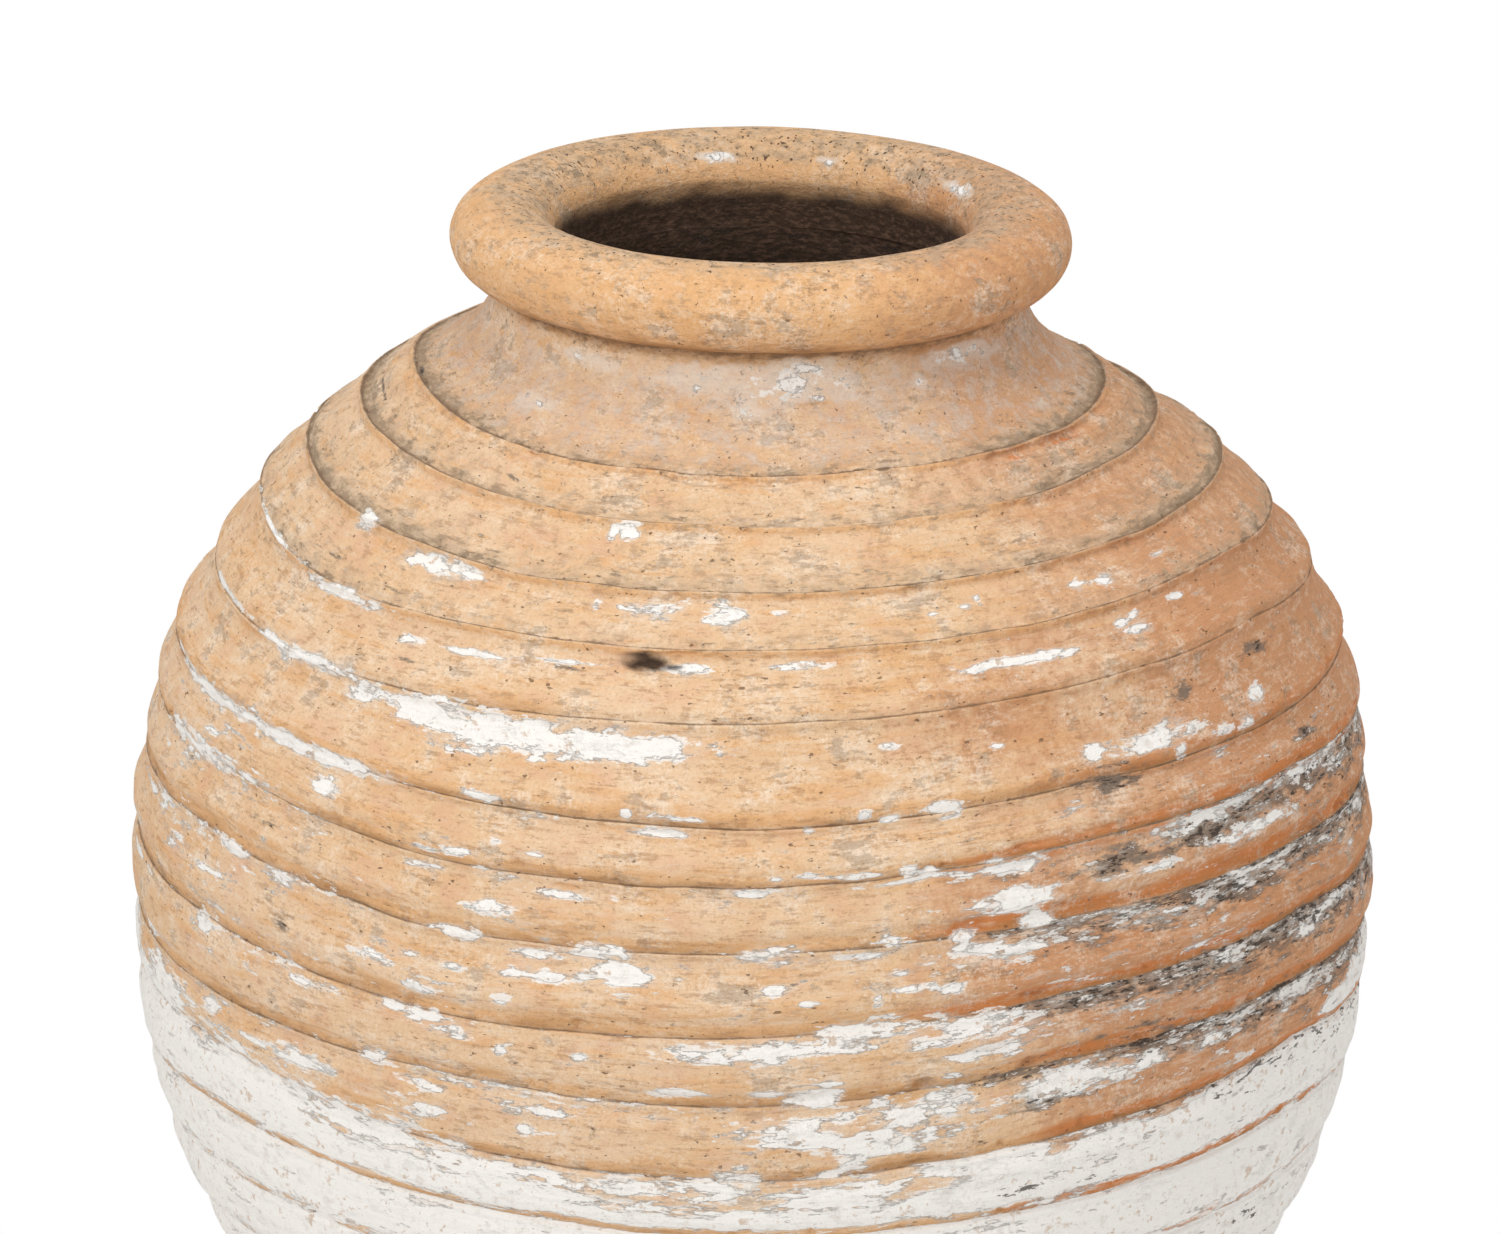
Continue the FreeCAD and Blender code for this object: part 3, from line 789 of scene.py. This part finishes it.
def fired_clay(name, finish):
    """Unglazed earthenware, turned and wiped with a wet hand, fired, lime-washed and weathered.

    It gives the eye a dry, chalky surface with level wiping marks, small pits and grit,
    warmer worn lips, grey dirt with painted crease shade in the grooves, painted shade in the pits
    and under the lips, and ragged white flakes with a crisp edge."""
    material = bpy.data.materials.new(name)
    material.use_nodes = True
    tree = material.node_tree
    tree.nodes.clear()
    runs = {"solid": add(tree, "ShaderNodeTexCoord").outputs["Object"]}
    swirl = add(tree, "ShaderNodeAttribute", attribute_name="swirl").outputs["Vector"]
    for run, squeeze in SQUEEZE.items():
        runs[run] = add(tree, "ShaderNodeVectorMath", {
            0: swirl, 1: (squeeze, squeeze, 1.0),
        }, operation="MULTIPLY").outputs[0]
    fields = {}
    for label, (run, size, detail, rough) in PATTERNS.items():
        fields[label] = add(tree, "ShaderNodeTexNoise", {
            "Vector": runs[run], "Scale": 1000.0 / size, "Detail": detail, "Roughness": rough,
        }).outputs["Fac"]
    for label in MASKS:
        fields[label] = add(tree, "ShaderNodeAttribute", attribute_name=label).outputs["Fac"]

    # Each layer lies over the ones before it, where what has settled there, made ragged by
    # a pattern, passes from the first level to the second: settled, pattern and how much
    # it counts, the two levels, the most that the layer covers, and its colour.
    layers = (
        # The clay itself: bleached and pink clouds, warmer bands, worn lips and the redder, darker +X side,
        # part clay colour and part painted shade
        ("bleached", 0.5, "broad", 0.8, 0.42, 0.6, 0.35, finish.pale),
        ("clouds", 0.5, "cloud", 1.0, 0.5, 0.68, 0.55, finish.pale),
        ("pink clouds", 0.5, "cloud", -1.0, 0.5, 0.68, 0.5, linear("#dba988")),
        ("warm bands", 0.5, "bands", 1.0, 0.51, 0.64, 0.6, finish.ochre),
        ("worn lips", "crest", "mottle", 1.2, 0.45, 1.1, 0.75, finish.ochre),
        ("redder side and painted shade", "red", "mottle", 1.2, 0.15, 0.8, 0.9, finish.rose),
        ("bare lips", "ember", "bands", 1.2, 0.3, 0.85, 0.9, finish.ember),
        # The marks of the wiping hand, then grit and chalk, drawn coarse enough to show
        ("pale wiping", "cloud", "wiping", 1.0, 0.55, 0.72, 0.3, linear("#f0dac0")),
        ("dark wiping", "mottle", "wiping", -1.0, 0.54, 0.68, 0.55, linear("#b0835b")),
        ("sand", 0.5, "grit", 1.0, 0.52, 0.72, 0.35, linear("#a97f5f")),
        ("chalk grains", "cloud", "grit", -1.0, 0.55, 0.75, 0.35, linear("#f8ecdc")),
        ("rubbed", 0.5, "crumbs", -1.0, 0.54, 0.64, 0.35, linear("#ecd5bb")),
        ("scuffs", "cloud", "crumbs", 1.0, 0.6, 0.72, 0.55, linear("#a58a6e")),
        ("dark grains", 0.0, "specks", 5.0, 0.8, 1.1, 0.6, linear("#7c6249")),
        # Dirt and painted shade: thin dust over the ledges, grime and painted crease shade in the grooves,
        # brown painted shade and some grime under the lips, painted shade in the pits
        ("settled dust", "dust", "mottle", 1.8, 0.2, 0.9, 0.75, finish.dust),
        ("dust specks", "dust", "crumbs", 2.6, 0.55, 0.9, 0.65, linear("#8f7b63")),
        # Brown painted shade under the lips and the rim, with some grime
        ("brown painted lip shade and grime", "smudge_and_shade", "bands", 1.4, 0.1, 0.8, 0.75, linear("#a2754a")),
        # Grime along the lines, partly painted crease shade
        ("grime_and_crease_shade", "groove_grime_and_shade", "crumbs", 2.6, 0.35, 1.0, 0.8, finish.grime_and_crease_shade),
        # The dark brown of the pits and of the stray pits is painted shade in them
        ("pits", "pitted", "pores", 5.0, 1.72, 1.9, 0.85, linear("#5b4432")),
        ("stray pits", 0.0, "pores", 5.0, 1.0, 1.2, 0.75, linear("#6b513c")),
        # The stained side: grey growth in the sheltered strips, with black specks in it
        ("grey growth", "stain", "crumbs", 3.4, 0.15, 0.65, 0.85, finish.stain),
        ("black specks", "stain", "specks", 4.0, 0.75, 1.0, 0.85, linear("#40342b")),
        # Lime wash: a thin haze, then flakes with a ragged edge, and dirt caught on them
        ("thin lime", "haze", "mottle", 2.0, 0.4, 1.1, 0.6, finish.haze),
        ("edge of lime", "wash", "flaking", 4.4, 0.0, 0.75, 0.5, finish.haze),
        ("lime crumbs", "wash", "crumbs", 5.0, 0.44, 0.62, 0.8, finish.lime),
        ("flakes", "wash", "flaking", 4.4, 0.42, 0.62, 0.95, finish.lime),
        ("grey lime", "flakes", "mottle", -1.6, 1.0, 1.25, 0.45, linear("#cfc3b6")),
        ("dirt on lime", "flakes", "mottle", 3.0, 1.18, 1.4, 0.6, linear("#c09a74")),
        ("specks on lime", "flakes", "specks", 3.0, 1.4, 1.6, 0.6, linear("#8d7762")),
        ("black crust", "stain", "specks", 4.0, 0.95, 1.2, 0.85, linear("#41352c")),
        # Soot inside, and painted shade in the deepest hollow
        ("black soot", "soot_and_hole_shade", "bands", 0.4, 0.2, 0.9, 0.97, finish.soot_and_hole_shade),
        ("brown soot", "soot_and_hole_shade", "wiping", 3.0, 0.8, 1.5, 0.75, linear("#765a48")),
    )
    colour = (*finish.buff, 1)
    for label, settled, pattern, counts, low, high, most, coat in layers:
        settled = fields.get(settled, settled)
        ragged = add(tree, "ShaderNodeMath", {
            0: fields[pattern], 1: counts, 2: settled,
        }, operation="MULTIPLY_ADD")
        # A pattern is 0.5 on average, so both levels are raised by half of what it counts
        share = add(tree, "ShaderNodeMapRange", {
            "Value": ragged.outputs[0], "From Min": low + counts / 2,
            "From Max": high + counts / 2, "To Max": most,
        }, interpolation_type="SMOOTHSTEP", label=label).outputs["Result"]
        mixed = add(tree, "ShaderNodeMix", {0: share, 6: colour, 7: (*coat, 1)}, data_type="RGBA")
        colour = mixed.outputs[2]
        fields[label] = share

    # Each relief's height in mm: a pit is 0.7 to 0.9 deep and a flake of wash 0.6 thick
    height = 0.0
    reliefs = (
        ("wiping", 0.6), ("grit", 0.5), ("bands", 1.6), ("mottle", 1.4), ("pits", -0.9),
        ("stray pits", -0.7), ("flakes", 0.6), ("scuffs", -0.4),
    )
    for label, thick in reliefs:
        height = add(tree, "ShaderNodeMath", {
            0: fields[label], 1: thick * MM, 2: height,
        }, operation="MULTIPLY_ADD").outputs[0]
    bump = add(tree, "ShaderNodeBump", {"Height": height, "Strength": 1.0, "Distance": 1.0})
    shader = add(tree, "ShaderNodeBsdfPrincipled", {
        "Base Color": colour, "Normal": bump.outputs["Normal"], "Roughness": 0.92, "IOR": 1.5,
        "Specular IOR Level": 0.35,
    })
    add(tree, "ShaderNodeOutputMaterial", {"Surface": shader.outputs["BSDF"]})
    return material


def finish_named(name, scene):
    return bpy.data.materials.get(name) or fired_clay(name, scene.jar_finish)


class JAR_OT_rolled_rim(bpy.types.Operator):
    """Builds the fold of clay round the mouth"""
    bl_idname = "jar.rolled_rim"
    bl_label = "Rolled rim"

    def execute(self, context):
        body = jar_body(context.scene)
        piece = turned_piece("rim_roll", body, *body.rim_loop())
        place_piece(piece, "rolled_rim", finish_named("weathered terracotta", context.scene))
        return {"FINISHED"}


class JAR_OT_wall_stages(bpy.types.Operator):
    """Builds the neck, the shoulder, the belly and the foot, one ring on another"""
    bl_idname = "jar.wall_stages"
    bl_label = "Wall stages"

    def execute(self, context):
        body = jar_body(context.scene)
        for node, top, bottom in STAGES:
            piece = turned_piece(node + "_clay", body, *body.loop(top, bottom))
            washed = node in ("lower_belly", "lower_wall", "foot_wall")
            finish = "lime-washed terracotta" if washed else "weathered terracotta"
            place_piece(piece, node, finish_named(finish, context.scene))
        return {"FINISHED"}


class JAR_OT_base_disc(bpy.types.Operator):
    """Builds the pad of clay that the jar stands on"""
    bl_idname = "jar.base_disc"
    bl_label = "Base disc"

    def execute(self, context):
        body = jar_body(context.scene)
        piece = turned_piece("base_pad", body, *body.base_loop(), closed=False)
        place_piece(piece, "base_disc", finish_named("lime-washed terracotta", context.scene))
        return {"FINISHED"}


class JAR_OT_stage(bpy.types.Operator):
    """Sets up the camera, the lamps, the floor and the white background"""
    bl_idname = "jar.stage"
    bl_label = "Stage"

    def execute(self, context):
        scene = context.scene
        stage = scene.jar_stage
        eye = Vector(stage.eye)
        camera = bpy.data.objects.new("camera", bpy.data.cameras.new("camera"))
        camera.data.lens = stage.lens
        camera.data.sensor_width = 36.0
        camera.data.sensor_fit = "HORIZONTAL"
        camera.data.shift_x = stage.shift
        camera.data.clip_end = 100.0
        look = (Vector(stage.target) - eye).to_track_quat("-Z", "Y").to_matrix().to_4x4()
        camera.matrix_world = Matrix.Translation(eye) @ look @ Matrix.Rotation(stage.roll, 4, "Z")
        scene.collection.objects.link(camera)
        scene.camera = camera
        lamps = (
            ("key_lamp", (-1.9, -2.6, 2.9), 1.5, stage.key),
            ("fill_lamp", (2.6, -2.4, 1.6), 2.0, stage.fill),
            ("top_lamp", (0.2, -0.4, 3.4), 2.2, stage.top),
        )
        for name, place, size, power in lamps:
            lamp = bpy.data.lights.new(name, "AREA")
            lamp.shape = "DISK"
            lamp.size = size
            lamp.energy = power
            holder = bpy.data.objects.new(name, lamp)
            aim = (Vector((0, 0, 0.55)) - Vector(place)).to_track_quat("-Z", "Y").to_matrix().to_4x4()
            holder.matrix_world = Matrix.Translation(place) @ aim
            scene.collection.objects.link(holder)
        add_floor(scene)
        add_sky(scene, stage.sky)
        scene.view_settings.view_transform = "Standard"
        return {"FINISHED"}


def backdrop_share(tree):
    """1 for rays that show the background itself: from the camera, in gloss, through glass."""
    path = add(tree, "ShaderNodeLightPath")
    seen = add(tree, "ShaderNodeMath", {
        0: path.outputs["Is Camera Ray"], 1: path.outputs["Is Glossy Ray"],
    }, operation="MAXIMUM")
    share = add(tree, "ShaderNodeMath", {
        0: seen.outputs[0], 1: path.outputs["Is Transmission Ray"],
    }, operation="MAXIMUM")
    return share.outputs[0]


def add_floor(scene):
    """A pale matt sheet that keeps the jar's shadow near it and runs out to plain white."""
    mesh = bpy.data.meshes.new("floor")
    mesh.from_pydata([(-6, -6, 0), (6, -6, 0), (6, 9, 0), (-6, 9, 0)], [], [(0, 1, 2, 3)])
    floor = bpy.data.objects.new("floor", mesh)
    scene.collection.objects.link(floor)
    material = bpy.data.materials.new("white paper sweep")
    material.use_nodes = True
    tree = material.node_tree
    tree.nodes.clear()
    place = add(tree, "ShaderNodeTexCoord").outputs["Object"]
    away = add(tree, "ShaderNodeVectorMath", {0: place}, operation="LENGTH").outputs["Value"]
    far = add(tree, "ShaderNodeMapRange", {
        "Value": away, "From Min": 0.42, "From Max": 0.66,
    }, interpolation_type="SMOOTHSTEP")
    share = add(tree, "ShaderNodeMath", {
        0: far.outputs["Result"], 1: backdrop_share(tree),
    }, operation="MULTIPLY")
    paper = add(tree, "ShaderNodeBsdfDiffuse", {"Color": (*linear("#f2f2f2"), 1)})
    white = add(tree, "ShaderNodeEmission", {"Color": (1, 1, 1, 1), "Strength": 1.0})
    mix = add(tree, "ShaderNodeMixShader", {0: share.outputs[0], 1: paper.outputs[0], 2: white.outputs[0]})
    add(tree, "ShaderNodeOutputMaterial", {"Surface": mix.outputs[0]})
    mesh.materials.append(material)


def add_sky(scene, strength):
    world = bpy.data.worlds.new("studio")
    world.use_nodes = True
    tree = world.node_tree
    tree.nodes.clear()
    lit = add(tree, "ShaderNodeBackground", {"Color": (1, 1, 1, 1), "Strength": strength})
    shown = add(tree, "ShaderNodeBackground", {"Color": (1, 1, 1, 1), "Strength": 1.0})
    mix = add(tree, "ShaderNodeMixShader", {0: backdrop_share(tree), 1: lit.outputs[0], 2: shown.outputs[0]})
    add(tree, "ShaderNodeOutputWorld", {"Surface": mix.outputs[0]})
    scene.world = world


class JAR_PT_sidebar(bpy.types.Panel):
    bl_idname = "JAR_PT_sidebar"
    bl_label = "Ribbed jar"
    bl_space_type = "VIEW_3D"
    bl_region_type = "UI"
    bl_category = "Jar"

    def draw(self, context):
        for operator in OPERATORS:
            self.layout.operator(operator.bl_idname)
        for group in (context.scene.jar_shape, context.scene.jar_finish, context.scene.jar_stage):
            column = self.layout.column()
            for name in group.__annotations__:
                column.prop(group, name)


GROUPS = (("jar_shape", JarShape), ("jar_finish", JarFinish), ("jar_stage", JarStage))
OPERATORS = (JAR_OT_stage, JAR_OT_rolled_rim, JAR_OT_wall_stages, JAR_OT_base_disc)


def register():
    for name, group in GROUPS:
        bpy.utils.register_class(group)
        setattr(bpy.types.Scene, name, bpy.props.PointerProperty(type=group))
    for made in OPERATORS + (JAR_PT_sidebar,):
        bpy.utils.register_class(made)


def unregister():
    for made in reversed(OPERATORS + (JAR_PT_sidebar,)):
        bpy.utils.unregister_class(made)
    for name, group in reversed(GROUPS):
        delattr(bpy.types.Scene, name)
        bpy.utils.unregister_class(group)


def main():
    register()
    bpy.ops.jar.stage()
    bpy.ops.jar.rolled_rim()
    bpy.ops.jar.wall_stages()
    bpy.ops.jar.base_disc()
    bpy.context.view_layer.update()


if __name__ == "__main__":
    main()
